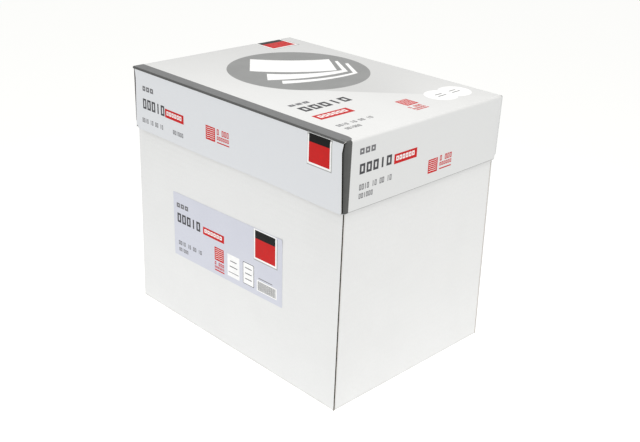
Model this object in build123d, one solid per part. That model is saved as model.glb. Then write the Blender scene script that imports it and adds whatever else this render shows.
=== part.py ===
from build123d import *
import os

# Carton of copy paper: a corrugated base tray that holds a stack of wrapped A4
# reams, a telescoping lid that drops over it, and an adhesive label on the
# base's front. Millimetres, +Z up. The origin is the centre of the underside.
# +X runs along the carton's length; the front is the long side at -Y.

os.makedirs("parts", exist_ok=True)

# ---- Paper ----
sheet_length = 297.0            # A4, long edge, along X
sheet_width = 210.0             # A4, short edge, along Y
sheet_thickness = 0.1055        # one sheet of 80 g/m2 office paper
sheets_per_ream = 500
reams_per_carton = 5
wrap_slack_length = 1.5         # wrapper and folded end flaps, at each short end
wrap_slack_width = 0.5          # wrapper, at each long side
wrap_build_up = 0.25            # wrapper layers above, and again below, the sheets
ream_corner_radius = 1.0        # upright corners of a wrapped ream
ream_edge_radius = 0.8          # top and bottom edges of a wrapped ream

# ---- Corrugated board ----
board_thickness = 1.7           # fine-flute board, both trays
fold_radius = 1.6               # outside of a scored fold
flap_edge_relief = 2.0          # glued flaps stop this short of floor and rim

# ---- Base tray ----
ream_clearance_length = 1.5     # ream to base, at each end
ream_clearance_width = 0.3      # ream to glued flaps, at each side
headspace = 1.0                 # top ream to the lid's underside
base_flap_length = 95.0         # corner flaps, glued inside the long walls
base_rim_cut = 2.5              # bevel at the long walls' free upper corners

# ---- Lid ----
lid_clearance = 0.8             # lid to base, on each side
lid_skirt_depth = 67.0          # lid's top face to its lower edge
lid_flap_length = 80.0
lid_rim_cut = 4.5               # bevel at the skirt's free lower corners

# ---- Front label ----
label_width = 170.0
label_height = 72.0
label_thickness = 0.12
label_corner_radius = 1.0
label_from_left = 60.0          # base's left edge to the label's left edge
label_below_lid = 52.5          # lid's lower edge to the label's upper edge
label_tilt = 1.2                # degrees, the right end stuck on higher

# ---- Sizes that follow ----
ream_length = sheet_length + 2 * wrap_slack_length
ream_width = sheet_width + 2 * wrap_slack_width
ream_height = sheets_per_ream * sheet_thickness + 2 * wrap_build_up

base_length = ream_length + 2 * (ream_clearance_length + board_thickness)
base_width = ream_width + 2 * (ream_clearance_width + 2 * board_thickness)
base_height = board_thickness + reams_per_carton * ream_height + headspace

lid_length = base_length + 2 * (lid_clearance + board_thickness)
lid_width = base_width + 2 * (lid_clearance + 2 * board_thickness)
carton_height = base_height + board_thickness


def block(low, high):
    """A box between two opposite corners."""
    size = [b - a for a, b in zip(low, high)]
    middle = [(a + b) / 2 for a, b in zip(low, high)]
    return Pos(*middle) * Box(*size)


def long_wall(length, width, height, rim_cut, side):
    """An outermost long wall; its raw upright ends are bevelled at the rim."""
    half = length / 2
    outline = Polyline(
        (-half, 0),
        (half, 0),
        (half, height - rim_cut),
        (half - rim_cut, height),
        (-half + rim_cut, height),
        (-half, height - rim_cut),
        close=True,
    )
    sheet = extrude(make_face(Plane.XZ * outline), amount=board_thickness / 2, both=True)
    return Pos(0, side * (width - board_thickness) / 2, 0) * sheet


def end_wall(length, width, height, side):
    """A short wall between the long ones, rounded where it turns into its corner flaps."""
    outer = side * length / 2
    inner = side * (length / 2 - board_thickness)
    half = width / 2 - board_thickness
    wall = block((min(outer, inner), -half, 0), (max(outer, inner), half, height))
    turns = wall.edges().filter_by(Axis.Z).sort_by(lambda edge: side * edge.center().X)[-2:]
    return fillet(turns, min(fold_radius, 0.95 * board_thickness))


def corner_flap(length, width, height, flap_length, side_x, side_y):
    """A flap that continues an end wall and is glued flat inside a long wall."""
    x_fold = side_x * (length / 2 - board_thickness)
    x_free = side_x * (length / 2 - flap_length)
    y_glued = side_y * (width / 2 - board_thickness)
    y_inner = side_y * (width / 2 - 2 * board_thickness)
    low = (min(x_fold, x_free), min(y_glued, y_inner), board_thickness + flap_edge_relief)
    high = (max(x_fold, x_free), max(y_glued, y_inner), height - flap_edge_relief)
    return block(low, high)


def folded_tray(length, width, height, flap_length, rim_cut):
    """One scored sheet folded up and glued: an open tray standing on z = 0."""
    floor = block(
        (-length / 2, -width / 2, 0),
        (length / 2, width / 2, board_thickness),
    )
    walls = []
    for side in (-1, 1):
        walls.append(long_wall(length, width, height, rim_cut, side))
        walls.append(end_wall(length, width, height, side))
        for side_y in (-1, 1):
            walls.append(corner_flap(length, width, height, flap_length, side, side_y))
    tray = floor.fuse(*walls).clean()
    folds = tray.edges().group_by(Axis.Z)[0]
    return fillet(folds, min(fold_radius, 0.95 * board_thickness)).solid()


def build_base_tray():
    return folded_tray(base_length, base_width, base_height, base_flap_length, base_rim_cut)


def build_lid():
    """The same kind of tray, turned over and dropped on until it sits on the base's rim."""
    tray = folded_tray(lid_length, lid_width, lid_skirt_depth, lid_flap_length, lid_rim_cut)
    return Pos(0, 0, carton_height) * Rot(180, 0, 0) * tray


def build_ream(index):
    """A sealed pack of sheets, counted from the bottom of the stack."""
    ream = Box(ream_length, ream_width, ream_height)
    ream = fillet(ream.edges().filter_by(Axis.Z), ream_corner_radius)
    rims = ream.edges().group_by(Axis.Z)
    ream = fillet(rims[0] + rims[-1], ream_edge_radius)
    return Pos(0, 0, board_thickness + (index + 0.5) * ream_height) * ream


def build_front_label():
    """A thin sheet stuck flat on the base's front wall, slightly out of level."""
    outline = RectangleRounded(label_width, label_height, label_corner_radius)
    sheet = extrude(Plane.XZ * Rot(0, 0, label_tilt) * outline, amount=label_thickness)
    x_middle = -base_length / 2 + label_from_left + label_width / 2
    z_middle = carton_height - lid_skirt_depth - label_below_lid - label_height / 2
    return Pos(x_middle, -base_width / 2, z_middle) * sheet


parts = {
    "base_tray": build_base_tray(),
    "lid": build_lid(),
    "front_label": build_front_label(),
}
for number in range(reams_per_carton):
    parts[f"ream_{number + 1}"] = build_ream(number)

for name, shape in parts.items():
    export_step(shape, f"parts/{name}.step")
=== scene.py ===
import functools
import math

import bmesh
import bpy
from mathutils import Matrix, Vector, noise


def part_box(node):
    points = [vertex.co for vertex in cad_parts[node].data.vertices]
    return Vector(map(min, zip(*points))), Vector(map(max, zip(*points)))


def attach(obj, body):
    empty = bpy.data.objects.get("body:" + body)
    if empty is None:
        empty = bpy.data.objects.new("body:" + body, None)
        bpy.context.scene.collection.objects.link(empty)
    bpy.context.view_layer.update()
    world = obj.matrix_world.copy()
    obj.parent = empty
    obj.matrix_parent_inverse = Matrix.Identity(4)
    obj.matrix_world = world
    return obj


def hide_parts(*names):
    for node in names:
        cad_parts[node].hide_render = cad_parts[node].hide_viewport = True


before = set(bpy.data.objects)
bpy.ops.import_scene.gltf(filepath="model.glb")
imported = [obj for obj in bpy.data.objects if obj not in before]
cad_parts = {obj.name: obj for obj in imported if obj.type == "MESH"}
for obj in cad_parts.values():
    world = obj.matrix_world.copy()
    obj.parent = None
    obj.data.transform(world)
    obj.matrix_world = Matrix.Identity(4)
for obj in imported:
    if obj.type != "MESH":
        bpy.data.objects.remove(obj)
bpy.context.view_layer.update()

# A carton of copy paper: base tray, lift-off lid, front label and five wrapped
# reams. Lengths are in millimetres up to the last step, which makes metres.
MM = 0.001


def box_mm(node):
    """The lowest and highest corner of a node of the frame, in millimetres."""
    low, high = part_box(node)
    return Vector(low) / MM, Vector(high) / MM


base_low, base_high = box_mm("base_tray")
lid_low, lid_high = box_mm("lid")
label_low, label_high = box_mm("front_label")

# ---- Board and print ----
BOARD = lid_high.z - base_high.z  # board thickness: the lid's panel over the base's rim
LINER = 0.22  # each of the board's two flat papers
FLUTE_PAPER = 0.70  # the wavy paper between them
FLUTE_PITCH = 6.8  # from one of its waves to the next
FLUTE_BACK = 0.12  # how far it lies back from a raw edge
GROOVE = 3.5  # how far the flutes can be looked into from a raw edge
SHALLOW_GROOVE = 0.3  # and how far where the edge is pressed shut
OPENING = (2.0, 10.0)  # the heights between which a raw edge opens
CRUSHED_LENGTH = 14.0  # the lid's front left corner is pressed shut up to here
SLANT_REACH = 30.0  # how far along the wall a slanted raw end is felt
FOLD = BOARD + 0.3  # outside radius of a scored fold
FOLD_STEPS = 5
GLUE_GAP = 0.05  # between a long wall and the flaps glued inside it
FLAP_RELIEF = 2.0  # the flaps stop this short of floor and rim
SKIN = 0.20  # room between the lid's paper and its box, for the print
INK = 0.04  # one layer of print
CELL = 9.0  # size of the board's mesh cells
INK_CELL = 6.0  # and of the print's
TINY = 0.01  # a length that doesn't count


# ---- How the real walls lean and bulge ----
def ease(value):
    """0 below 0, 1 above 1, smooth between."""
    value = min(max(value, 0.0), 1.0)
    return value * value * (3 - 2 * value)


def dent(point, centre, radius):
    """1 at the centre, falling to 0 at the radius."""
    distance = (Vector(point) - Vector(centre)).length
    return ease(1 - distance / radius)


def shares(point, low, high):
    """Where a point is from 0 at a box's lowest corner to 1 at its highest, on each axis."""
    return [(place - start) / (end - start) for place, start, end in zip(point, low, high)]


BACK_RIGHT_FOOT = (1.9, 2.0)  # the base's back right corner stands out at the floor
BACK_RIGHT_RIM = (-0.3, -0.9)  # and in at the rim
FRONT_LEFT_FOOT = 0.5
LONG_WALL_BULGE = 0.35
END_WALL_BULGE = 0.45
# Shallow dents: place along the wall, height, radius and depth.
RIGHT_DENTS = ((20, 150, 46, 0.8), (-40, 60, 38, 0.6), (70, 92, 30, 0.5))
FRONT_DENTS = ((70, 60, 44, 0.5), (-100, 40, 40, 0.4))


def warp_base(point):
    """Moves a point of the base tray, its label or its reams from the plan to where the real one stands."""
    x, y, z = point
    right, back, up = shares(point, base_low, base_high)
    corner = right * back
    x += corner * (BACK_RIGHT_FOOT[0] * (1 - up) + BACK_RIGHT_RIM[0] * up)
    y += corner * (BACK_RIGHT_FOOT[1] * (1 - up) + BACK_RIGHT_RIM[1] * up)
    x += FRONT_LEFT_FOOT * (1 - right) * (1 - back) * (1 - up)
    long_middle = 16 * up * (1 - up) * right * (1 - right)
    y += LONG_WALL_BULGE * long_middle * (2 * back - 1)
    end_middle = 16 * up * (1 - up) * back * (1 - back)
    x += END_WALL_BULGE * end_middle * (2 * right - 1)
    if right > 0.9:
        for along, height, radius, depth in RIGHT_DENTS:
            x -= depth * dent(point, (base_high.x, along, height), radius)
    if back < 0.1:
        for along, height, radius, depth in FRONT_DENTS:
            y += depth * dent(point, (along, base_low.y, height), radius)
    return Vector((x, y, z))


SKIRT_LEAN = 0.6  # how far the skirt's edge is pressed in at its corners
SKIRT_SAG = 0.9  # and further in between them, on the long sides
END_BULGE = 0.45  # and less far in between them, on the ends
SKIRT_WAVE = 0.5  # how far the skirt's lower edge goes up and down
PANEL_SAG = 0.5  # how far the top sinks in its middle
FOLD_DENT = 0.35  # how deep the fold above the right end is dented
FOLD_DENT_Y, FOLD_DENT_RADIUS = -16, 16


def warp_lid(point):
    """Moves a point of the lid or its print from the plan to where the real one is."""
    x, y, z = point
    right, back, up = shares(point, lid_low, lid_high)
    down = 1 - up
    lengthwise = ease(4 * right * (1 - right))
    crosswise = ease(4 * back * (1 - back))
    toward_y = (1 - 2 * back) ** 3
    toward_x = (1 - 2 * right) ** 3
    wave = 0.25 * math.sin(x / 23.0) + 0.2 * math.sin(x / 9.7 + 1)
    y += toward_y * down * (SKIRT_LEAN + (SKIRT_SAG + 0.5 * wave) * lengthwise)
    x += toward_x * down * (SKIRT_LEAN - END_BULGE * crosswise)
    z += SKIRT_WAVE * down * lengthwise * abs(toward_y) * math.sin(x / 31.0)
    z -= PANEL_SAG * (1 - down) * lengthwise * crosswise
    dented = dent(point, (lid_high.x - 4, FOLD_DENT_Y, lid_high.z), FOLD_DENT_RADIUS)
    z -= FOLD_DENT * ease(1 - 6 * down) * dented
    return Vector((x, y, z))


# ---- Meshes ----
def in_scene(name, data):
    """A new object in the scene."""
    made = bpy.data.objects.new(name, data)
    bpy.context.scene.collection.objects.link(made)
    return made


def add_object(name, mesh, material_list, body):
    """Puts a mesh in the scene with its materials, riding on a body."""
    for material in material_list:
        mesh.materials.append(material)
    piece = in_scene(name, mesh)
    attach(piece, body)
    return piece


def finish_mesh(name, builder, sharp_angle=35, weld=0.004):
    """Welds a bmesh in millimetres, turns its faces outwards and makes a mesh in metres."""
    bmesh.ops.remove_doubles(builder, verts=builder.verts, dist=weld)
    bmesh.ops.recalc_face_normals(builder, faces=builder.faces)
    bmesh.ops.scale(builder, vec=(MM, MM, MM), verts=builder.verts)
    for face in builder.faces:
        face.smooth = True
    mesh = bpy.data.meshes.new(name)
    builder.to_mesh(mesh)
    builder.free()
    mesh.set_sharp_from_angle(angle=math.radians(sharp_angle))
    return mesh


def steps(start, end, size):
    """Evenly spaced values from start to end, both included, no further apart than size."""
    count = max(1, math.ceil(abs(end - start) / size - 1e-6))
    return [start + (end - start) * i / count for i in range(count + 1)]


def pairs(values):
    """Each value with the next one."""
    return zip(values, values[1:])


def join_rings(builder, ring, after):
    """Faces between two rings of as many corners."""
    for i in range(len(ring)):
        j = (i + 1) % len(ring)
        builder.faces.new((ring[i], ring[j], after[j], after[i]))


def merged(*lists):
    """Sorted values of several lists, with the near doubles dropped."""
    result = []
    for value in sorted(value for values in lists for value in values):
        if not result or value - result[-1] > 0.02:
            result.append(value)
    return result


# ---- A tray folded from one flat blank ----
class Tray:
    """A tray folded up from one flat sheet of board.

    A point of the board is (u, v, depth). u and v are millimetres on the flat
    blank from its centre, u along the length and v across, and depth goes in
    from the outer paper. Long walls are folded up at v and end in raw edges.
    End walls are folded up at u and turn into flaps glued inside the long walls."""

    def __init__(self, low, high, flap, cuts, raw_insets, slants, flutes_along, warp, turned_over):
        self.low, self.high, self.warp, self.turned_over = low, high, warp, turned_over
        self.length, self.width, self.height = high - low
        self.flap, self.slants, self.flutes_along = flap, slants, flutes_along
        self.cuts = self.by_corner(cuts)
        self.raw_insets = self.by_corner(raw_insets)
        self.arc = FOLD * math.pi / 2
        self.floor_u = self.length / 2 - FOLD
        self.floor_v = self.width / 2 - FOLD
        self.turn_v = self.width / 2 - BOARD - GLUE_GAP - FOLD
        self.flap_end = self.turn_v + self.flap - BOARD - FOLD + self.arc
        self.rim = self.height - FOLD + self.arc

    def by_corner(self, values):
        """Values for the long walls' front left, front right, back left and back right ends."""
        front = 1 if self.turned_over else -1
        keys = ((-1, front), (1, front), (-1, -front), (1, -front))
        return dict(zip(keys, values))

    def raw_end(self, side_u, side_v):
        """Where a long wall's raw upright end is, and where its bevel begins."""
        raw = self.length / 2 - self.raw_insets[side_u, side_v]
        return side_u * raw, side_u * (raw - self.cuts[side_u, side_v])

    def at_back(self, v):
        return (v < 0) == self.turned_over

    def bend(self, distance, flat):
        """Follows the outer paper over one fold: how far out, how high and at what angle."""
        if distance <= flat:
            return distance, 0.0, 0.0
        if distance < flat + self.arc:
            angle = (distance - flat) / FOLD
            return flat + FOLD * math.sin(angle), FOLD * (1 - math.cos(angle)), angle
        return flat + FOLD, FOLD + distance - flat - self.arc, math.pi / 2

    def plan(self, u, v, depth, panel):
        """Where a point of the board is in the tray as drawn, standing on its floor."""
        if panel == "end":
            out, rise, angle = self.bend(abs(u), self.floor_u)
            rise += depth * math.cos(angle)
            if abs(u) <= self.floor_u:
                return Vector((u, v, rise))
            reach = out - self.floor_u - depth * math.sin(angle)
            past = abs(v) - self.turn_v
            if past <= 0:
                x, y = reach, 0.0
                y_side = v
            else:
                turn = min(past / FOLD, math.pi / 2)
                x = reach * math.cos(turn) - max(0.0, past - self.arc)
                y = reach * math.sin(turn)
                y_side = math.copysign(self.turn_v + y, v)
            return Vector((math.copysign(self.floor_u + x, u), y_side, rise))
        out, rise, angle = self.bend(abs(v), self.floor_v)
        y = math.copysign(out - depth * math.sin(angle), v)
        along = u
        if abs(v) > self.floor_v and not self.at_back(v):
            along -= math.copysign(self.front_slant(u, rise), u)
        return Vector((along, y, rise + depth * math.cos(angle)))

    def front_slant(self, u, rise):
        """How far a front wall that was cut slightly out of square stops short near its fold."""
        near_end = ease((abs(u) - self.length / 2 + SLANT_REACH) / SLANT_REACH)
        near_fold = ease(rise / 5) * max(0.0, 1 - rise / self.height)
        return self.slants[u > 0] * near_end * near_fold

    def place(self, u, v, depth, panel):
        """Where a point of the board is in the finished carton."""
        point = self.plan(u, v, depth, panel)
        middle = (self.low + self.high) / 2
        if self.turned_over:
            point = Vector((point.x, -point.y, self.height - point.z))
        return self.warp(point + Vector((middle.x, middle.y, self.low.z)))

    def at_height(self, flat, height):
        """How far out on the blank a wall's point is that stands this high."""
        return flat + self.arc + height - FOLD

    def fold_lines(self, start, toward=1):
        """The blank's lines across one fold, from where it starts."""
        return [start + toward * self.arc * i / FOLD_STEPS for i in range(FOLD_STEPS + 1)]

    def cells(self):
        """Every cell of the blank, as a panel and its corners, anticlockwise on the blank."""
        ends = [u for side_v in (-1, 1) for side_u in (-1, 1) for u in self.raw_end(side_u, side_v)]
        us = merged(steps(-self.floor_u, self.floor_u, CELL), [u for u in ends if abs(u) < self.floor_u])
        turns = [-self.turn_v, self.turn_v]
        vs = merged(steps(-self.floor_v, -self.turn_v, CELL), steps(*turns, CELL), [self.floor_v])
        for u0, u1 in pairs(us):
            for v0, v1 in pairs(vs):
                yield "floor", rectangle(u0, v0, u1, v1)
        yield from self.long_wall_cells(us)
        yield from self.end_wall_cells(vs)

    def long_wall_cells(self, us):
        top = self.floor_v + self.rim
        fold = self.fold_lines(self.floor_v)
        for side in (-1, 1):
            (left, left_cut), (right, right_cut) = self.raw_end(-1, side), self.raw_end(1, side)
            inside = [u for u in us if left < u < right]
            columns = merged(inside, [left, left_cut, right_cut, right])
            low_cuts = [top - self.cuts[side_u, side] for side_u in (-1, 1)]
            rows = merged(fold, steps(self.floor_v + self.arc, min(low_cuts), CELL), low_cuts, [top])
            for v0, v1 in pairs(rows):
                for u0, u1 in pairs(columns):
                    corners = rectangle(u0, v0, u1, v1)
                    if u1 > right_cut + TINY:
                        corners = beside_cut(corners, (right_cut, top), (right, low_cuts[1]))
                    elif u0 < left_cut - TINY:
                        corners = beside_cut(corners, (left_cut, top), (left, low_cuts[0]))
                    if len(corners) > 2:
                        yield "long", mirrored(corners, 1, side)

    def end_wall_cells(self, vs):
        top = self.floor_u + self.rim
        flap_low = self.at_height(self.floor_u, BOARD + FLAP_RELIEF)
        flap_high = top - FLAP_RELIEF
        rows = merged(self.fold_lines(self.floor_u), steps(flap_low, flap_high, CELL), [top])
        wall = [v for v in vs if abs(v) <= self.turn_v + TINY]
        turn = self.fold_lines(self.turn_v)
        flap = steps(turn[-1], self.flap_end, CELL)
        for side in (-1, 1):
            for u0, u1 in pairs(rows):
                for v0, v1 in pairs(wall):
                    yield "end", mirrored(rectangle(u0, v0, u1, v1), side, 1)
                glued = u0 > flap_low - TINY and u1 < flap_high + TINY
                around = turn + flap[1:] if glued else turn
                for side_v in (-1, 1):
                    for v0, v1 in pairs(around):
                        yield "end", mirrored(rectangle(u0, v0, u1, v1), side, side_v)


def rectangle(u0, v0, u1, v1):
    return [(u0, v0), (u1, v0), (u1, v1), (u0, v1)]


def mirrored(corners, side_u, side_v):
    """The corners on another side of the blank, still anticlockwise."""
    turned = [(side_u * u, side_v * v) for u, v in corners]
    return turned if side_u * side_v > 0 else turned[::-1]


def beside_cut(corners, upper, lower):
    """What is left of a rim's cell below the bevel between two points."""
    (upper_u, upper_v), (lower_u, lower_v) = upper, lower

    def kept_v(u):
        share = (abs(u) - abs(upper_u)) / (abs(lower_u) - abs(upper_u))
        return upper_v + (lower_v - upper_v) * min(max(share, 0.0), 1.0)

    (u0, v0), (u1, v1) = corners[0], corners[2]
    left, right = min(v1, kept_v(u0)), min(v1, kept_v(u1))
    kept = [(u0, v0), (u1, v0)]
    if right > v0 + TINY:
        kept.append((u1, right))
    if left > v0 + TINY:
        kept.append((u0, left))
    return kept if len(kept) > 2 else []


def crushed(tray, u, v, panel):
    """The back wall's raw edges are pressed shut, and so is the lid's front left corner."""
    corner = tray.turned_over and u < CRUSHED_LENGTH - tray.length / 2
    return panel == "long" and (tray.at_back(v) or corner)


def edge_groove(tray, u, v, panel):
    """How deep the flutes can be seen into at a raw edge: hardly at all where it meets a fold."""
    if crushed(tray, u, v, panel):
        return SHALLOW_GROOVE
    closed, opened = OPENING
    rise = tray.plan(u, v, 0, panel).z
    return SHALLOW_GROOVE + (GROOVE - SHALLOW_GROOVE) * ease((rise - closed) / (opened - closed))


# The order of the board's materials:
OUTER, INNER, CUT, DARK = range(4)


def board_mesh(name, tray):
    """The board as one closed shell: outer paper, inner paper, and a groove round every raw edge."""
    builder = bmesh.new()
    edges = {}

    def spot(u, v, panel):
        """A key that two cells share where their corners meet."""
        return tuple(round(value * 97.3 + 0.123) for value in tray.plan(u, v, 0, panel))

    def face(points, material):
        corners = []
        for point in points:
            if not corners or (point - corners[-1]).length > 1e-4:
                corners.append(point)
        if (corners[0] - corners[-1]).length <= 1e-4:
            corners.pop()
        if len(corners) > 2:
            made = builder.faces.new([builder.verts.new(point) for point in corners])
            made.material_index = material

    for panel, corners in tray.cells():
        face([tray.place(u, v, 0, panel) for u, v in reversed(corners)], OUTER)
        face([tray.place(u, v, BOARD, panel) for u, v in corners], INNER)
        keys = [spot(u, v, panel) for u, v in corners]
        for index, key in enumerate(keys):
            after = keys[(index + 1) % len(keys)]
            if key != after:
                ends = (corners[index], corners[(index + 1) % len(corners)], panel)
                edges[key, after] = ends
    raw = {pair: ends for pair, ends in edges.items() if pair[::-1] not in edges}
    inward = {}
    for (key, after), ((u0, v0), (u1, v1), panel) in raw.items():
        normal = Vector((v0 - v1, u1 - u0)).normalized()
        inward.setdefault(key, []).append(normal)
        inward.setdefault(after, []).append(normal)

    def inset(key, u, v, panel):
        normals = inward[key]
        total = sum(normals, Vector((0, 0)))
        if total.length < 0.1:
            total = normals[0]
        mitre = total.normalized() / max(0.5, total.normalized().dot(normals[0]))
        shift = mitre * edge_groove(tray, u, v, panel)
        return u + shift.x, v + shift.y

    for (key, after), ((u0, v0), (u1, v1), panel) in raw.items():
        outer = ((u0, v0), (u1, v1))
        inner = (inset(key, u0, v0, panel), inset(after, u1, v1, panel))
        rows = [(outer, 0), (outer, LINER), (inner, LINER)]
        rows += [(inner, BOARD - LINER), (outer, BOARD - LINER), (outer, BOARD)]
        placed = [[tray.place(*point, depth, panel) for point in ends] for ends, depth in rows]
        for number, ((a0, a1), (b0, b1)) in enumerate(pairs(placed)):
            paper = CUT if number == 0 else DARK
            if crushed(tray, (u0 + u1) / 2, v0, panel):
                paper = OUTER
            face([a0, a1, b1, b0], paper)
    return finish_mesh(name, builder)


# ---- Flutes seen in the raw edges ----
def flute_ribbon(builder, tray, panel, start, end, inward):
    """The wavy paper between the liners along one raw edge, from start to end on the blank."""
    length = math.dist(start, end)
    count = max(2, round(length / FLUTE_PITCH * 8))
    swing = BOARD / 2 - LINER - FLUTE_PAPER / 2
    deepest = GROOVE - 0.05
    rings = []
    for i in range(count + 1):
        share = i / count
        u = start[0] + (end[0] - start[0]) * share
        v = start[1] + (end[1] - start[1]) * share
        middle = BOARD / 2 + swing * math.cos(math.tau * share * length / FLUTE_PITCH)
        ring = []
        for side, back in ((1, FLUTE_BACK), (-1, FLUTE_BACK), (-1, deepest), (1, deepest)):
            depth = middle + side * FLUTE_PAPER / 2
            place = tray.place(u + inward[0] * back, v + inward[1] * back, depth, panel)
            ring.append(builder.verts.new(place))
        rings.append(ring)
    for ring, after in pairs(rings):
        join_rings(builder, ring, after)
    builder.faces.new(rings[0])
    builder.faces.new(rings[-1])


def flute_mesh(name, tray):
    """Flutes show as waves wherever an open raw edge cuts across them."""
    builder = bmesh.new()
    start_v = tray.at_height(tray.floor_v, 9)
    top_v = tray.floor_v + tray.rim
    top_u = tray.floor_u + tray.rim
    low, high = tray.turn_v + tray.arc + 2, tray.flap_end - 2
    for side in (-1, 1):
        inward = (-side, 0)
        if tray.flutes_along == "u":
            ends = ((side * top_u, -tray.turn_v), (side * top_u, tray.turn_v))
            flute_ribbon(builder, tray, "end", *ends, inward)
            for other in (-1, 1):
                ends = ((side * (top_u - 2), other * low), (side * (top_u - 2), other * high))
                flute_ribbon(builder, tray, "end", *ends, inward)
                if not crushed(tray, side, other, "long"):
                    raw = tray.raw_end(side, other)[0]
                    upper = top_v - tray.cuts[side, other] - 1
                    flute_ribbon(builder, tray, "long", (raw, other * start_v), (raw, other * upper), inward)
        elif not crushed(tray, 0, side, "long"):
            left, right = CRUSHED_LENGTH - tray.length / 2, tray.raw_end(1, side)[1] - 1
            flute_ribbon(builder, tray, "long", (left, side * top_v), (right, side * top_v), (0, -side))
    return finish_mesh(name, builder, sharp_angle=60, weld=0.0001)


# ---- Print: thin closed shapes on the paper ----
def ink_grid(size):
    return [INK_CELL * i for i in range(int(size / INK_CELL) + 1)]


class LidFace:
    """One flat side of the lid: x from its left end, or on both ends from the front, and y from its
    upper edge, or on the top from the front."""

    def __init__(self, tray, side):
        self.tray, self.side = tray, side
        self.panel = "end" if side in ("right", "left") else "long"

    def blank(self, x, y):
        """The point of the blank at x, y."""
        tray = self.tray
        if self.side == "front":
            return x - tray.length / 2, tray.at_height(tray.floor_v, y)
        if self.side == "top":
            return x - tray.length / 2, tray.width / 2 - y
        side = 1 if self.side == "right" else -1
        return side * tray.at_height(tray.floor_u, y), tray.width / 2 - x

    def place(self, x, y, lift):
        u, v = self.blank(x, y)
        return self.tray.place(u, v, -lift, self.panel)

    def cuts(self):
        """Where print has to be cut so that it follows the folds."""
        tray = self.tray
        grid = ink_grid(max(tray.length, tray.width))
        fold = tray.fold_lines(FOLD, -1)
        if self.side == "top":
            return grid, grid + fold
        if self.panel == "end":
            turn = tray.fold_lines(tray.width / 2 - tray.turn_v, -1)
            return grid + turn, grid + fold
        return grid, grid


def ink_shape(builder, surface, points, layer=1):
    """Adds one closed shape of print, cut so that it lies on the surface."""
    flat = bmesh.new()
    flat.faces.new([flat.verts.new((x, y, 0)) for x, y in points])
    for axis, values in zip((Vector((1, 0, 0)), Vector((0, 1, 0))), surface.cuts()):
        for value in values:
            everything = flat.verts[:] + flat.edges[:] + flat.faces[:]
            bmesh.ops.bisect_plane(flat, geom=everything, dist=1e-4, plane_co=axis * value, plane_no=axis)
    upper = {vert: builder.verts.new(surface.place(vert.co.x, vert.co.y, layer * INK)) for vert in flat.verts}
    lower = {vert: builder.verts.new(surface.place(vert.co.x, vert.co.y, -0.01)) for vert in flat.verts}
    for shape in flat.faces:
        builder.faces.new([upper[vert] for vert in shape.verts])
        builder.faces.new([lower[vert] for vert in reversed(shape.verts)])
    for edge in flat.edges:
        if len(edge.link_faces) == 1:
            a, b = edge.verts
            builder.faces.new((upper[a], upper[b], lower[b], lower[a]))
    flat.free()


def bar(x0, y0, x1, y1):
    return [(x0, y0), (x1, y0), (x1, y1), (x0, y1)]


def rounded_bar(x0, y0, x1, y1, radius, corner_steps=4):
    points = []
    centres = ((x1 - radius, y1 - radius), (x0 + radius, y1 - radius), (x0 + radius, y0 + radius),
               (x1 - radius, y0 + radius))
    for quarter, (x, y) in enumerate(centres):
        for i in range(corner_steps + 1):
            angle = (quarter + i / corner_steps) * math.pi / 2
            points.append((x + radius * math.cos(angle), y + radius * math.sin(angle)))
    return points


def disc(x, y, radius, count=96):
    turn = math.tau / count
    return [(x + radius * math.cos(turn * i), y + radius * math.sin(turn * i)) for i in range(count)]


DIGIT_WIDTH = 0.78  # of a digit's room in a row
DIGIT_STROKE = 0.26


def word(x0, x1, top, base, rhythm):
    """A stand-in for printed words: plain noughts (0), ones (1) and spaces, all of one height."""
    digit = (x1 - x0) / len(rhythm)
    weight = digit * DIGIT_STROKE
    for i, kind in enumerate(rhythm):
        left = x0 + digit * i
        right = left + digit * DIGIT_WIDTH
        if kind == "1":
            yield bar(left + weight, top, left + 2 * weight, base)
        if kind == "0":
            yield bar(left, top, left + weight, base)
            yield bar(right - weight, top, right, base)
            yield bar(left + weight, top, right - weight, top + weight)
            yield bar(left + weight, base - weight, right - weight, base)


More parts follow.
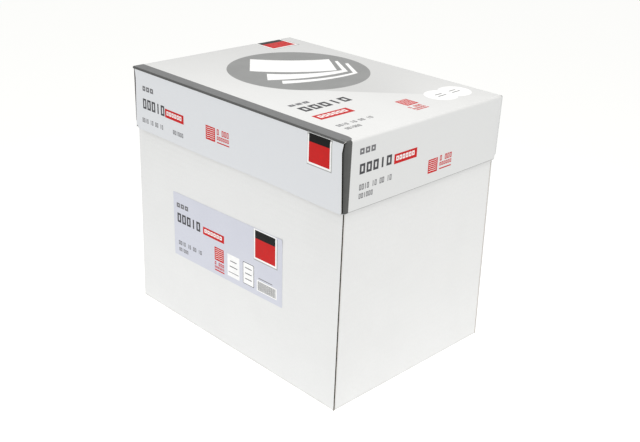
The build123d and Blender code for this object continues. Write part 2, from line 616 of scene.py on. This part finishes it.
# ---- Materials ----
class Look:
    """A new material whose nodes read the piece's own coordinates, in metres."""

    def __init__(self, name, roughness, specular=0.35):
        self.material = bpy.data.materials.new(name)
        self.material.use_nodes = True
        self.tree = self.material.node_tree
        self.shader = self.tree.nodes["Principled BSDF"]
        self.feed(self.shader, {"Roughness": roughness, "Specular IOR Level": specular})
        self.place = self.node("TexCoord", {}).outputs["Object"]

    def feed(self, node, values):
        """Gives a node's inputs their numbers, colours or links."""
        for key, value in values.items():
            socket = node.inputs[key]
            if isinstance(value, bpy.types.NodeSocket):
                self.tree.links.new(value, socket)
            elif socket.type == "RGBA":
                socket.default_value = (*value, 1.0)
            else:
                socket.default_value = value

    def node(self, kind, values, **settings):
        made = self.tree.nodes.new(f"ShaderNode{kind}")
        for name, value in settings.items():
            setattr(made, name, value)
        self.feed(made, values)
        return made

    def noise(self, scale, detail, stretch=(1, 1, 1)):
        mapping = self.node("Mapping", {"Vector": self.place, "Scale": stretch})
        values = {"Vector": mapping.outputs["Vector"], "Scale": scale, "Detail": detail}
        return self.node("TexNoise", values).outputs["Fac"]

    def math(self, operation, first, second=0.0):
        return self.node("Math", {0: first, 1: second}, operation=operation).outputs[0]

    def product(self, first, second):
        return self.math("MULTIPLY", first, second)

    def ramp(self, value, low, high, at_low, at_high):
        values = {"Value": value, "From Min": low, "From Max": high, "To Min": at_low, "To Max": at_high}
        return self.node("MapRange", values, interpolation_type="SMOOTHSTEP").outputs["Result"]

    def fibres(self, scale, detail, low, high, stretch=(1, 1, 1)):
        """Noise drawn apart, so that it runs from 0 to 1 between low and high."""
        return self.ramp(self.noise(scale, detail, stretch), low, high, 0, 1)

    def mix(self, share, first, second):
        values = {"Factor": share, "A": first, "B": second}
        return self.node("Mix", values, data_type="RGBA").outputs["Result"]

    def axes(self):
        return self.node("SeparateXYZ", {0: self.place}).outputs

    def finish(self, colour, fibre, rough, height, distance, strength=1.0):
        """Sets the colour, the relief and how rough it is where fibre is 0 and where it is 1."""
        bump = self.node("Bump", {"Height": height, "Distance": distance, "Strength": strength})
        self.feed(self.shader, {"Base Color": colour, "Normal": bump.outputs["Normal"]})
        if rough:
            self.feed(self.shader, {"Roughness": self.ramp(fibre, 0, 1, *rough)})
        return self.material


def shade(colour, factor):
    return tuple(min(1.0, channel * factor) for channel in colour)


BASE_WHITE = (0.782, 0.784, 0.786)
LID_WHITE = (0.790, 0.792, 0.792)
SCUFFED = (0.50, 0.47, 0.43)
# Painted shade: the lid's skirts get a darker white than its top, and the front skirt a bluer one for the
# cool light on it.
SKIRT_SHADED_WHITE = (0.722, 0.728, 0.732)
SKIRT_FRONT_COOL_LIT_WHITE = (0.712, 0.728, 0.764)
RECYCLED = ((0.50, 0.40, 0.28), (0.58, 0.48, 0.35), (0.42, 0.33, 0.22))
CUT_PAPER = ((0.74, 0.73, 0.71), (0.58, 0.54, 0.49))
LABEL_PAPER = ((0.600, 0.615, 0.700), (0.655, 0.668, 0.748), (0.56, 0.57, 0.65))
REAM_WRAP = ((0.76, 0.78, 0.80), (0.82, 0.83, 0.84))


def paper_colour(look, colour):
    """White paper with faint cloudiness and finer fibres."""
    cloud = look.fibres(22, 4, 0.35, 0.65)
    fibre = look.fibres(850, 2, 0.35, 0.7, (1, 1, 0.5))
    soft = look.mix(cloud, shade(colour, 0.988), shade(colour, 1.006))
    return look.mix(look.product(fibre, 0.35), soft, shade(colour, 0.96)), fibre


def washboard(look, axis, fibre, depth=0.25):
    """The flutes' faint ridges through the paper, across one axis, with its fibres."""
    wave = look.math("SINE", look.product(axis, math.tau / (FLUTE_PITCH * MM)))
    return look.math("ADD", look.product(wave, depth), look.product(fibre, 0.2))


def make_base_liner():
    """The base tray's paper, scuffed along the floor."""
    look = Look("base_liner", 0.6, 0.25)
    colour, fibre = paper_colour(look, BASE_WHITE)
    height = look.axes()["Z"]
    uneven = look.math("ADD", height, look.product(look.noise(70, 5), 0.006))
    scuff = look.ramp(uneven, 0.0035, 0.0075, 1, 0)
    colour = look.mix(look.product(scuff, 0.25), colour, SCUFFED)
    return look.finish(colour, fibre, (0.54, 0.68), washboard(look, height, fibre), 0.00009)


# The disc on the lid's top: its middle from the left and from the front edge, and its radius.
DISC_X, DISC_Y, DISC_R = 116.5, 130.5, 76.0
DISC_BLUR = 2.5  # how soft the sides of the disc's printed shadow are


def disc_shadow(look, x, y):
    """The disc's long soft shadow, printed towards the back right."""
    from_disc_x = look.math("SUBTRACT", x, (lid_low.x + DISC_X) * MM)
    from_disc_y = look.math("SUBTRACT", y, (lid_low.y + DISC_Y) * MM)
    half = math.sqrt(0.5)
    along = look.product(look.math("ADD", from_disc_x, from_disc_y), half)
    sideways = look.product(look.math("SUBTRACT", from_disc_x, from_disc_y), half)
    inside = look.ramp(look.math("ABSOLUTE", sideways), (DISC_R - DISC_BLUR) * MM, DISC_R * MM, 1, 0)
    ahead = look.ramp(along, 0, 0.02, 0, 1)
    fading = look.ramp(along, 0.06, 0.16, 1, 0.15)
    return look.product(inside, ahead), fading


def make_lid_liner():
    """The lid's paper: a printed shadow on its top, painted shade fading across the top towards its back
    left, painted shade on the skirts, and a painted cool-light tint on the front skirt.
    """
    look = Look("lid_liner", 0.58, 0.2)
    colour, fibre = paper_colour(look, LID_WHITE)
    x, y, z = look.axes()
    inside, fading = disc_shadow(look, x, y)
    on_top = look.ramp(z, (lid_high.z - 3) * MM, (lid_high.z - 1.2) * MM, 0, 1)
    shadow = look.product(inside, look.product(fading, on_top))
    colour = look.mix(look.product(shadow, 0.75), colour, shade(LID_WHITE, 0.66))
    # Painted shade: the top darkens towards its back left corner.
    from_corner = look.math("SUBTRACT", x, look.product(y, 1.3))
    top_painted_shade = look.product(look.ramp(from_corner, -0.26, 0.26, 1, 0), on_top)
    colour = look.mix(top_painted_shade, colour, shade(LID_WHITE, 0.84))
    # Painted shade on the skirts, and a painted cool-light tint on the front skirt.
    skirt = look.math("SUBTRACT", 1.0, on_top)
    colour = look.mix(look.product(skirt, 0.8), colour, SKIRT_SHADED_WHITE)
    near_front = look.ramp(y, (lid_low.y + 2) * MM, (lid_low.y + 5) * MM, 0.8, 0)
    colour = look.mix(look.product(skirt, near_front), colour, SKIRT_FRONT_COOL_LIT_WHITE)
    return look.finish(colour, fibre, (0.52, 0.66), washboard(look, x, fibre, 0.16), 0.00008)


def make_inner_liner():
    """Uncoated recycled paper, as the inside of both trays."""
    look = Look("inner_liner", 0.8, 0.2)
    fibre = look.fibres(700, 4, 0.3, 0.7, (1, 1, 0.4))
    first, second, dark = RECYCLED
    colour = look.mix(fibre, look.mix(look.noise(30, 4), first, second), dark)
    return look.finish(colour, fibre, (0.74, 0.9), fibre, 0.00006)


def make_cut_edge():
    """The liners' cut edges: white paper, slightly frayed."""
    look = Look("liner_cut_edge", 0.75, 0.2)
    fray = look.fibres(900, 3, 0.4, 0.65)
    roughness = look.ramp(fray, 0, 1, 0.7, 0.85)
    look.feed(look.shader, {"Base Color": look.mix(fray, *CUT_PAPER), "Roughness": roughness})
    return look.material


def make_flute_paper(name, colour):
    look = Look(name, 0.85, 0.15)
    fibre = look.noise(800, 4, (1, 1, 0.4))
    colour = look.mix(fibre, shade(colour, 0.75), shade(colour, 1.25))
    return look.finish(colour, fibre, None, fibre, 0.00005)


def make_ink(name, colour, roughness=0.45):
    """Print with slightly uneven cover over the paper's fibres."""
    look = Look(name, roughness, 0.12)
    cover = look.fibres(260, 4, 0.35, 0.7)
    streak = look.fibres(45, 3, 0.3, 0.7)
    soft = look.mix(cover, colour, shade(colour, 1.10))
    uneven = look.mix(look.product(streak, 0.5), soft, shade(colour, 0.93))
    return look.finish(uneven, cover, (roughness, roughness + 0.12), look.noise(850, 2), 0.00003)


def make_label_paper():
    look = Look("label_paper", 0.5)
    fibre = look.fibres(950, 3, 0.35, 0.7)
    first, second, dark = LABEL_PAPER
    soft = look.mix(look.noise(30, 3), first, second)
    colour = look.mix(look.product(fibre, 0.2), soft, dark)
    return look.finish(colour, fibre, (0.44, 0.58), fibre, 0.00003)


def make_ream_wrap():
    """Satin white wrapping paper, creased where it is drawn over the stack's edges."""
    look = Look("ream_wrap_paper", 0.42, 0.45)
    cloud = look.fibres(24, 4, 0.35, 0.65)
    crease = look.fibres(60, 5, 0.48, 0.53, (1, 2.2, 0.6))
    return look.finish(look.mix(cloud, *REAM_WRAP), cloud, (0.36, 0.5), crease, 0.00012, 0.6)


# ---- The two trays ----
BASE_FLAP = 95.0
LID_FLAP = 80.0
# For the front left, front right, back left and back right ends of the long walls:
BASE_CUTS = (2.5, 2.5, 2.5, 2.5)  # bevels at the rim
LID_CUTS = (4.5, 1.6, 4.5, 4.5)
BASE_RAW = (1.6, 0.6, 0.6, 0.6)  # how far the raw ends stop short of the end walls' faces
LID_RAW = (4.2, 1.1, 1.0, 1.0)
# And how much further the front's left and right ends stop short near the fold, cut out of square:
BASE_SLANTS = (0, 0)
LID_SLANTS = (2.4, 3.3)
RIM_ROOM = 0.2  # how far the base's rim is kept under the lid's paper

base_top = base_high - Vector((0, 0, SKIN + RIM_ROOM))
base_plan = Tray(base_low, base_top, BASE_FLAP, BASE_CUTS, BASE_RAW, BASE_SLANTS, "u", warp_base, False)
lid_foot = lid_low + Vector((SKIN, SKIN, 0))
lid_top_corner = lid_high - Vector((SKIN, SKIN, SKIN))
lid_plan = Tray(lid_foot, lid_top_corner, LID_FLAP, LID_CUTS, LID_RAW, LID_SLANTS, "v", warp_lid, True)

inner_liner = make_inner_liner()
cut_edge = make_cut_edge()
base_groove = make_flute_paper("base_groove", (0.15, 0.13, 0.11))
# Painted shade: the lid's groove is nearly black, standing for the shade inside the open flutes.
lid_groove_painted_shade = make_flute_paper("lid_groove_painted_shade", (0.006, 0.005, 0.004))
# Painted shade: the base's flute paper is nearly black, standing for the shaded flutes in the raw edge.
base_flutes = make_flute_paper("base_flutes", (0.004, 0.003, 0.002))
lid_flutes = make_flute_paper("lid_flutes", (0.10, 0.075, 0.05))


def add_tray(body, tray, liner, groove, flute_paper, node):
    """One tray's board and the flutes in its raw edges."""
    name = f"{body}_board"
    board = add_object(name, board_mesh(name, tray), [liner, inner_liner, cut_edge, groove], body)
    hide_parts(node)
    flutes = add_object(f"{name}_flutes", flute_mesh(f"{name}_flutes", tray), [flute_paper], body)


add_tray("base", base_plan, make_base_liner(), base_groove, base_flutes, "base_tray")
add_tray("lid", lid_plan, make_lid_liner(), lid_groove_painted_shade, lid_flutes, "lid")

# ---- The label on the front ----
LABEL_WIDTH = 170.0
LABEL_HEIGHT = 72.0
LABEL_THICKNESS = 0.12
LABEL_TILT = math.radians(1.2)
LABEL_SHIFT = Vector((1.5, 0, -1.2))  # from the CAD's place towards the real one
LABEL_RADIUS = 1.0
BLISTER = 0.10  # how far the paper stands off in long low blisters
LIFTED = 0.35  # and at its upper right corner
LIFTED_REACH = 14


class Label:
    """The label's front, x from its left end and y from its upper edge."""

    middle = (label_low + label_high) / 2 + LABEL_SHIFT

    def place(self, x, y, lift):
        right, up = x - LABEL_WIDTH / 2, LABEL_HEIGHT / 2 - y
        across = right * math.cos(LABEL_TILT) - up * math.sin(LABEL_TILT)
        rise = right * math.sin(LABEL_TILT) + up * math.cos(LABEL_TILT)
        out = LABEL_THICKNESS + lift + self.ripple(x, y)
        return warp_base((self.middle.x + across, base_low.y - out, self.middle.z + rise))

    def ripple(self, x, y):
        """How far the paper stands off where it isn't pressed down."""
        blister = BLISTER * max(0.0, noise.noise((x / 34, y / 20, 3.0)))
        corner = math.dist((x, y), (LABEL_WIDTH, 0)) / LIFTED_REACH
        return blister + LIFTED * ease(1 - corner)

    def cuts(self):
        """Where print has to be cut so that it follows the paper."""
        return ink_grid(LABEL_WIDTH), ink_grid(LABEL_HEIGHT)


label = Label()
builder = bmesh.new()
ink_shape(builder, label, rounded_bar(0, 0, LABEL_WIDTH, LABEL_HEIGHT, LABEL_RADIUS), layer=0)
label_mesh = finish_mesh("front_label_paper", builder)
front_label = add_object("front_label_paper", label_mesh, [make_label_paper()], "base")
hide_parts("front_label")

# ---- Print ----
INKS = {
    "grey": make_ink("ink_grey", (0.192, 0.194, 0.198)),
    # A darker copy of the grey, as painted shade where the stripe turns over the fold and down the right end.
    "side": make_ink("ink_grey_painted_shade", (0.098, 0.099, 0.098)),
    "text": make_ink("ink_text", (0.068, 0.068, 0.074)),
    "pale": make_ink("ink_pale", (0.17, 0.17, 0.18)),
    "red": make_ink("ink_red", (0.56, 0.010, 0.010), 0.4),
    "black": make_ink("ink_black", (0.003, 0.003, 0.003), 0.35),
    "white": make_ink("ink_white", (0.93, 0.93, 0.93), 0.5),
    "disc": make_ink("ink_disc", (0.290, 0.293, 0.293)),
    # Printed drop shadows round the maker's fields, and a painted shadow line along the lid's right skirt
    # foot.
    "edge": make_ink("ink_shade_line_and_print_shadow", (0.40, 0.405, 0.40), 0.7),
    # Painted shade: a dark line in the gap at the lid's front left corner.
    "gap_shade": make_ink("ink_gap_shade", (0.030, 0.020, 0.016), 0.8),
}


class Print:
    """The print on one piece, gathered by colour so that each colour is one mesh."""

    def __init__(self, name, body, slot):
        self.name, self.body, self.slot = name, body, slot
        self.builders = {}

    def add(self, surface, ink, points, layer=1):
        if ink not in self.builders:
            self.builders[ink] = bmesh.new()
        ink_shape(self.builders[ink], surface, points, layer)

    def finish(self):
        for ink, made in self.builders.items():
            name = f"{self.name}_{ink}"
            piece = add_object(name, finish_mesh(name, made, 30, 0.001), [INKS[ink]], self.body)


class ReadFromRight:
    """The lid's top, as read from its right end: x from the front edge, y from the left edge."""

    def __init__(self, face):
        self.face = face

    def place(self, x, y, lift):
        return self.face.place(y, x, lift)

    def cuts(self):
        across, along = self.face.cuts()
        return along, across


def strokes(add, ink, x0, x1, top, base, rhythm, layer=1):
    """One row of plain digits."""
    for points in word(x0, x1, top, base, rhythm):
        add(ink, points, layer)


def tag(add, x0, y0, x1, y1):
    """A red tag with a row of white noughts."""
    add("red", bar(x0, y0, x1, y1))
    margin = (y1 - y0) * 0.28
    row = (x0 + margin, x1 - margin, y0 + margin * 0.8, y1 - margin * 1.1)
    strokes(add, "white", *row, "000000", 2)


def count_mark(add, x, y, size):
    """A red square with white wavy lines across it."""
    add("red", bar(x, y, x + size, y + size))
    for i in range(6):
        top = y + size * (0.10 + 0.145 * i)
        wavy = [(x + size * (0.08 + 0.84 * j / 8), top + size * 0.02 * math.sin(j * 1.6)) for j in range(9)]
        lower = [(px, py + size * 0.034) for px, py in reversed(wavy)]
        add("white", wavy + lower, 2)


def maker_field(add, x0, y0, x1, y1):
    """A plain white-framed field, dark above and red below, where the maker's mark was."""
    border = (x1 - x0) * 0.06
    shadow = border * 0.55
    add("edge", bar(x0 - shadow * 0.4, y0 + shadow, x1 + shadow, y1 + shadow))
    add("white", bar(x0, y0, x1, y1), 2)
    band = y0 + (y1 - y0) * 0.30
    add("black", bar(x0 + border, y0 + border * 0.6, x1 - border, band), 3)
    add("red", bar(x0 + border, band, x1 - border, y1 - border), 3)


PRODUCT_ROWS = (("pale", "000"), ("text", "00010"), ("pale", "0010 10 00 10"), ("pale", "001000"))


def product_print(add, rows, tag_box, mark, stamp, rule):
    """The rows that every page repeats. Each row is its left and right end, its top and its base."""
    for (ink, rhythm), row in zip(PRODUCT_ROWS, rows):
        strokes(add, ink, *row, rhythm)
    tag(add, *tag_box)
    count_mark(add, *mark)
    for rhythm, row in zip(("0 000", "000000"), stamp):
        strokes(add, "red", *row, rhythm)
    add("red", bar(*rule))


# ---- Print on the lid ----
lid_front, lid_right = LidFace(lid_plan, "front"), LidFace(lid_plan, "right")
lid_left, lid_top = LidFace(lid_plan, "left"), LidFace(lid_plan, "top")
lid_print = Print("lid_print", "lid", "lid_board")
END = lid_plan.length
STRIPE = 13.8  # the grey stripe along the lid top's front fold
SIDE_STRIPE = 9.0  # and down the right end's front fold, narrower below
STRIPE_STOPS = 1.3  # it stops this short of the ends,
STRIPE_ROUNDS = 13.0  # and its back edge rounds off from here
FOLDED_OVER = lid_plan.arc - FOLD  # how far the blank goes past a fold's edge
ROUND_FRONT = -6.0  # how far the side stripe goes round to the front wall
SKIRT_FOOT = lid_plan.height - 0.3


def print_stripes():
    """The grey stripe, with painted shade where it turns over the front fold and down the right end, painted
    shade in the gap at the lid's front left corner, and a painted shadow line along the right skirt's foot.
    """
    start, end = STRIPE_STOPS, END - STRIPE_STOPS
    reach = STRIPE_ROUNDS - 2.2
    quarter = disc(0, 0, 1, 48)[:13]
    widening = STRIPE - SIDE_STRIPE
    rounding = [(END - STRIPE_ROUNDS + reach * px, SIDE_STRIPE + widening * py) for px, py in quarter]
    stripe = [(start, -FOLDED_OVER), (end, -FOLDED_OVER), *rounding, (start, STRIPE)]
    lid_print.add(lid_top, "grey", stripe)
    # Painted shade where the stripe turns over the front fold.
    lid_print.add(lid_top, "side", [*stripe[:2], (end, 0.9), (start, 1.3)], 2)
    side_top = -FOLDED_OVER + 0.05
    right_edge = [(SIDE_STRIPE - 0.7, side_top), (SIDE_STRIPE - 0.9, 6), (SIDE_STRIPE - 1.7, SKIRT_FOOT)]
    side = [(ROUND_FRONT, side_top), *right_edge, (ROUND_FRONT, SKIRT_FOOT)]
    # The right end's stripe in the darker copy, as painted shade.
    lid_print.add(lid_right, "side", side, 3)
    # Painted shade in the gap at the lid's front left corner.
    lid_print.add(lid_left, "gap_shade", bar(-8.0, 1.6, 3.6, lid_plan.height - 7.0))
    # Painted shadow line along the right skirt's foot, where the lid meets the base.
    lid_print.add(lid_right, "edge", bar(6.4, SKIRT_FOOT - 0.5, lid_plan.width - 4.5, SKIRT_FOOT))


def print_front(add):
    product_print(
        add,
        rows=((17.4, 38.0, 17.4, 22.6), (17.4, 56.6, 31.0, 42.0),
              (15.4, 52.0, 52.6, 57.4), (68.6, 86.0, 52.6, 57.2)),
        tag_box=(56.0, 33.0, 87.0, 42.4),
        mark=(122.6, 32.8, 14.4),
        stamp=((139.8, 158.2, 33.0, 38.8), (139.8, 158.2, 40.2, 44.0)),
        rule=(139.8, 46.0, 158.2, 47.2))
    maker_field(add, 265.6, 1.4, 296.0, 31.0)


def print_right(add):
    product_print(
        add,
        rows=((18.6, 40.0, 9.6, 15.2), (19.4, 63.0, 24.0, 33.6),
              (20.0, 63.0, 43.2, 48.6), (20.0, 38.6, 51.8, 56.6)),
        tag_box=(64.6, 25.3, 96.0, 34.7),
        mark=(114.4, 42.4, 13.8),
        stamp=((131.4, 150.0, 41.6, 47.0), (131.4, 150.0, 48.4, 52.0)),
        rule=(131.4, 54.4, 149.4, 55.6))


def print_top(add):
    """x runs to the back from the front edge, y to the right from the left edge."""
    product_print(
        add,
        rows=((33.0, 60.0, 203.6, 208.8), (34.0, 99.0, 215.0, 228.0), (26.0, 72.0, 273.0, 278.0),
              (26.6, 46.0, 283.2, 288.0)),
        tag_box=(28.0, 241.0, 72.4, 254.0),
        mark=(123.0, 257.6, 16.4),
        stamp=((119.0, 137.0, 277.0, 281.4), (119.0, 137.0, 282.8, 286.0)),
        rule=(119.0, 287.4, 137.0, 289.0))
    for middle, layer in ((177.0, 1), (199.0, 2)):
        add("white", disc(middle, 271.0, 17.0), layer)
        add("pale", bar(middle - 5, 267.0, middle + 5, 268.4), 3)
        add("pale", bar(middle - 6, 272.0, middle + 6, 273.4), 3)
    maker_field(add, 169.0, 2.0, 208.0, 34.0)


def bowed(start, end, bow, count=10):
    """Points from start to end along a shallow arc that swings out to the right of the way by bow."""
    start, end = Vector(start), Vector(end)
    along = end - start
    across = Vector((along.y, -along.x)).normalized()
    shares = [i / count for i in range(count + 1)]
    return [start + along * share + across * (4 * bow * share * (1 - share)) for share in shares]


def print_pictogram(add):
    """A grey disc with a fan of three plain curling sheets, the two lower ones showing along two sides."""
    add("disc", disc(DISC_Y, DISC_X, DISC_R, 128))
    upper = bowed((118.5, 52.0), (188.5, 104.0), -5.5)
    lower = bowed((162.5, 142.0), (86.0, 89.0), 6.0)
    add("white", upper + lower, 2)
    for number in range(2):
        slide = Vector((2.0, 14.0)) * number
        inner = bowed(Vector((93.0, 108.0)) + slide * 0.9 + Vector((-7.0, 16.5)) * number,
                      Vector((167.0, 145.3)) + slide, -6.5)
        outer = bowed(Vector((168.5, 152.5)) + slide + Vector((1.5, -3.0)) * number,
                      Vector((77.5, 126.5)) + slide * 0.9 + Vector((1.5, 6.5)) * number, 6.5)
        arm = [Vector((187.5, 114.0)) + slide, Vector((190.5, 115.5)) + slide]
        add("white", inner + arm + outer, 2)


print_stripes()
print_front(functools.partial(lid_print.add, lid_front))
print_right(functools.partial(lid_print.add, lid_right))
add_to_top = functools.partial(lid_print.add, ReadFromRight(lid_top))
print_top(add_to_top)
print_pictogram(add_to_top)
lid_print.finish()

# ---- Print on the label ----
label_print = Print("label_print", "base", "label_paper")


def bar_code(add, x, top, base, count):
    """A row of bars whose widths follow a formula."""
    for number in range(count):
        width = 0.35 + 0.35 * ((number * number + 3 * number) % 3)
        add("text", bar(x, top, x + width * 0.8, base), 2)
        x += width + 0.42


def print_label(add):
    product_print(
        add,
        rows=((5.6, 26.4, 11.2, 16.2), (6.2, 46.6, 22.6, 33.0),
              (7.2, 47.0, 54.2, 58.8), (7.6, 23.6, 62.2, 66.2)),
        tag_box=(49.6, 24.9, 83.6, 33.4),
        mark=(68.0, 41.0, 14.6),
        stamp=((68.0, 83.4, 57.4, 61.0), (68.0, 83.4, 62.2, 64.6)),
        rule=(68.0, 66.0, 83.4, 67.4))
    add("white", bar(88.6, 41.6, 107.2, 66.0))
    for rule in ((90.0, 60.8, 105.8, 61.5), (93.0, 48.0, 102.8, 49.0), (92.0, 54.0, 103.8, 55.0)):
        add("pale", bar(*rule), 2)
    add("text", rounded_bar(112.6, 41.7, 129.2, 65.7, 1.2))
    add("white", rounded_bar(113.2, 42.3, 128.6, 65.1, 0.9), 2)
    for line in range(3):
        add("pale", bar(116.0, 47.0 + 6 * line, 125.8, 48.0 + 6 * line), 3)
    add("white", bar(133.4, 54.4, 162.2, 66.4))
    bar_code(add, 135.0, 55.7, 65.4, 26)
    add("pale", bar(136.0, 51.8, 156.0, 52.6))
    maker_field(add, 129.2, 0.8, 162.2, 33.0)


print_label(functools.partial(label_print.add, label))
label_print.finish()


# ---- Wrapped reams ----
REAM_EDGE = 2.2  # how softly the wrapper goes over the stack's edges
REAM_CELLS = (12, 10, 6)
REAM_SLACK = (0.5, 0.25, 0.15)  # how far the wrapper falls in on each axis
FOLDS_BACK = 0.35  # the end folds, set back from the CAD's face,
FOLDS_RAISED = (0.05, 0.25)  # from their inner to their outer side


def ream_mesh(name, low, high, number):
    """One wrapped ream: soft edges and a slightly slack wrapper."""
    builder = bmesh.new()
    size = high - low
    middle = (low + high) / 2
    xs, ys, zs = (steps(-half, half, cell) for half, cell in zip(size / 2, REAM_CELLS))

    def soft(point):
        inner = Vector([max(-s / 2 + REAM_EDGE, min(s / 2 - REAM_EDGE, c)) for s, c in zip(size, point)])
        out = point - inner
        rounded = inner + (out.normalized() * REAM_EDGE if out.length > REAM_EDGE else out)
        slack = noise.noise(Vector((rounded.x / 40, rounded.y / 40, rounded.z / 16 + 7 * number)))
        for axis, depth in enumerate(REAM_SLACK):
            rounded[axis] -= depth * abs(slack) * (rounded[axis] / (size[axis] / 2)) ** 5
        return warp_base(rounded + middle)

    for axis, (first, second) in enumerate(((ys, zs), (zs, xs), (xs, ys))):
        for side in (-1, 1):
            for a0, a1 in pairs(first):
                for b0, b1 in pairs(second):
                    corners = []
                    for a, b in ((a0, b0), (a1, b0), (a1, b1), (a0, b1)):
                        point = [0.0, 0.0, 0.0]
                        point[axis] = side * size[axis] / 2
                        point[(axis + 1) % 3] = a
                        point[(axis + 2) % 3] = b
                        corners.append(builder.verts.new(soft(Vector(point))))
                    builder.faces.new(corners if side > 0 else corners[::-1])
    return finish_mesh(name, builder, 40, 0.01)


def fold_flap_mesh(name, low, high):
    """The wrapper's folded ends: a long tapered flap glued down at each end."""
    builder = bmesh.new()
    length, width, height = high - low
    middle = (low + high) / 2
    foot, top = (width / 2 - 3, -height / 2 + 2), (width / 2 - height * 0.62, height * 0.16)
    flap = [(-foot[0], foot[1]), foot, top, (-top[0], top[1])]
    for side in (-1, 1):
        rings = []
        for raised in FOLDS_RAISED:
            x = side * (length / 2 - FOLDS_BACK + raised)
            rings.append([builder.verts.new(warp_base(middle + Vector((x, y, z)))) for y, z in flap])
            builder.faces.new(rings[-1])
        join_rings(builder, *rings)
    return finish_mesh(name, builder, 30, 0.001)


ream_wrap = make_ream_wrap()
for number in range(1, 6):
    node = f"ream_{number}"
    low, high = box_mm(node)
    ream = add_object(f"wrapped_ream_{number}", ream_mesh(node, low, high, number), [ream_wrap], "base")
    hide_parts(node)
    flaps = add_object(f"ream_end_folds_{number}", fold_flap_mesh(node, low, high), [ream_wrap], "base")


# ---- Camera, floor and light ----
CAMERA_PLACE = Vector((667.3, -663.8, 532.0))
CAMERA_TARGET = Vector((0.3, 14.6, 155.9))
CAMERA_ROLL = math.radians(2.249)
CAMERA = {"lens": 53.6, "sensor_width": 36, "shift_x": 0.0016, "shift_y": -0.0620, "clip_start": 0.01}
FLOOR_SIZE = 12  # metres from the middle to its edges
FLOOR_COLOUR = (0.40, 0.40, 0.395)
FLOOR_LIGHT = (0.98, 0.98, 0.965)
FLOOR_GLOW = 0.66  # how brightly the floor glows far from the carton
NEAR_GLOW = 1.02  # and close to it
GLOW_FADES = (0.15, 0.75)  # metres from the middle
WORLD_WHITE = (0.80, 0.80, 0.79)


def add_camera():
    forward = (CAMERA_TARGET - CAMERA_PLACE).normalized()
    level = forward.cross(Vector((0, 0, 1))).normalized()
    upright = level.cross(forward)
    right = level * math.cos(CAMERA_ROLL) + upright * math.sin(CAMERA_ROLL)
    up = upright * math.cos(CAMERA_ROLL) - level * math.sin(CAMERA_ROLL)
    data = bpy.data.cameras.new("camera")
    data.sensor_fit = "HORIZONTAL"
    for name, value in CAMERA.items():
        setattr(data, name, value)
    camera = in_scene("camera", data)
    matrix = Matrix((right, up, -forward)).transposed().to_4x4()
    matrix.translation = CAMERA_PLACE * MM
    camera.matrix_world = matrix
    bpy.context.scene.camera = camera


def add_floor():
    """A plain white floor that glows a little, so that its shadows stay faint."""
    corners = [(x, y, 0) for x, y in rectangle(-FLOOR_SIZE, -FLOOR_SIZE, FLOOR_SIZE, FLOOR_SIZE)]
    mesh = bpy.data.meshes.new("floor")
    mesh.from_pydata(corners, [], [range(4)])
    floor = in_scene("floor", mesh)
    floor.location.z = -0.0002
    look = Look("floor_white", 0.9, 0.0)
    axes = look.axes()
    squares = look.math("ADD", *(look.product(axes[name], axes[name]) for name in "XY"))
    glow = look.ramp(look.math("SQRT", squares), *GLOW_FADES, NEAR_GLOW, FLOOR_GLOW)
    values = {"Base Color": FLOOR_COLOUR, "Emission Color": FLOOR_LIGHT, "Emission Strength": glow}
    look.feed(look.shader, values)
    mesh.materials.append(look.material)


def add_soft_light(name, place, aim, size, power, colour):
    data = bpy.data.lights.new(name, "AREA")
    data.shape = "DISK"
    data.size = size
    data.energy = power
    data.color = colour
    light = in_scene(name, data)
    light.location = place
    light.rotation_euler = (Vector(aim) - Vector(place)).to_track_quat("-Z", "Y").to_euler()


def add_world():
    world = bpy.data.worlds.new("studio")
    world.use_nodes = True
    background = world.node_tree.nodes["Background"]
    background.inputs["Color"].default_value = (*WORLD_WHITE, 1)
    background.inputs["Strength"].default_value = 1.0
    bpy.context.scene.world = world


add_camera()
add_floor()
add_world()
add_soft_light(
    "cool_left", place=(-1.4, -1.5, 0.9), aim=(0, 0, 0.12), size=1.2, power=1.5, colour=(0.80, 0.90, 1.0))
add_soft_light(
    "above_right", place=(0.27, -0.05, 1.2), aim=(0, 0, 0.25), size=0.5, power=3.6,
    colour=(1.0, 0.985, 0.955))
bpy.context.scene.view_settings.view_transform = "Standard"
